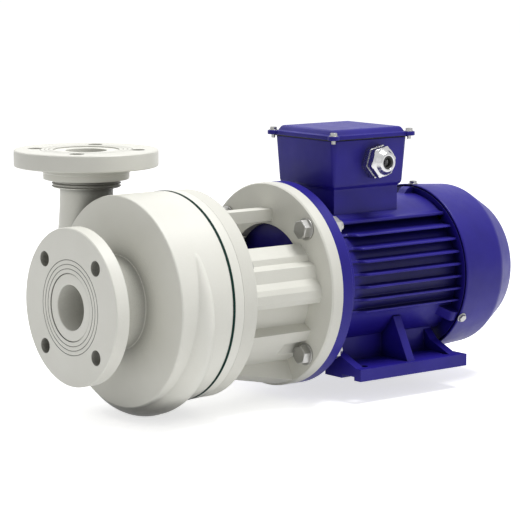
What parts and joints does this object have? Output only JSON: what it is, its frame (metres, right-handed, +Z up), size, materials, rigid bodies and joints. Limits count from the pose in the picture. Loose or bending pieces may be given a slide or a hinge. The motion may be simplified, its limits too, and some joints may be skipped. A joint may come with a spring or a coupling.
{
  "type": "chemical process pump",
  "caption": "Close-coupled plastic centrifugal pump: axial suction flange, tangential upright discharge, open lantern bracket and finned motor on feet.",
  "frame": {"origin": "centre of the suction flange face, on the shaft axis", "axes": "+X along the shaft from the suction towards the motor, +Z up towards the discharge, +Y completes the right-handed set"},
  "size_m": [0.618, 0.3243, 0.3288],
  "materials": {
    "ivory_plastic": "satin moulded",
    "blue_paint": "satin enamel",
    "green_rubber": "matte",
    "black_rubber": "matte",
    "stainless": "turned",
    "nickel": "plated",
    "ceramic": "ground",
    "carbon": "lapped",
    "ptfe": "smooth",
    "copper": "lacquered",
    "lamination_steel": "stacked",
    "shaft_steel": "ground",
    "fan_plastic": "moulded"
  },
  "bodies": {
    "pump_and_motor_housing": {"casing_bolts": "stainless", "casing_gasket": "green_rubber", "casing_washers": "stainless", "cowl_screws": "stainless", "discharge_flange": "ivory_plastic", "fan_cowl": "blue_paint", "far_foot": "blue_paint", "front_bearing_outer_ring": "shaft_steel", "gland_body": "nickel", "gland_locknut": "nickel", "gland_nut": "nickel", "lantern_bolts": "stainless", "lantern_bracket": "ivory_plastic", "lantern_nuts": "stainless", "lantern_washers": "stainless", "lid_gasket": "black_rubber", "lid_screws": "blue_paint", "motor_frame": "blue_paint", "motor_front_shield": "blue_paint", "motor_rear_shield": "blue_paint", "near_foot": "blue_paint", "pump_cover": "ivory_plastic", "rear_bearing_outer_ring": "shaft_steel", "seal_gland_plate": "stainless", "seal_gland_screws": "stainless", "seal_stationary_ring": "ceramic", "stator_core": "lamination_steel", "stator_windings": "copper", "suction_flange": "ivory_plastic", "terminal_board": "fan_plastic", "terminal_box": "blue_paint", "terminal_lid": "blue_paint", "terminal_studs": "stainless", "volute_casing": "ivory_plastic", "wave_washer": "shaft_steel"},
    "rotor": {"impeller": "ivory_plastic", "impeller_nut": "ivory_plastic", "pump_shaft": "shaft_steel", "shaft_sleeve": "ceramic", "seal_rotating_ring": "carbon", "seal_bellows": "ptfe", "seal_clamp_ring": "stainless", "motor_shaft": "shaft_steel", "shaft_key": "shaft_steel", "rotor_core": "lamination_steel", "front_bearing_inner_ring": "shaft_steel", "rear_bearing_inner_ring": "shaft_steel", "cooling_fan": "fan_plastic"}
  },
  "joints": [
    {"name": "shaft_spin", "type": "hinge", "parent": "pump_and_motor_housing", "child": "rotor", "pos_m": [0.3, 0, 0], "axis": [1, 0, 0], "continuous": true}
  ]
}
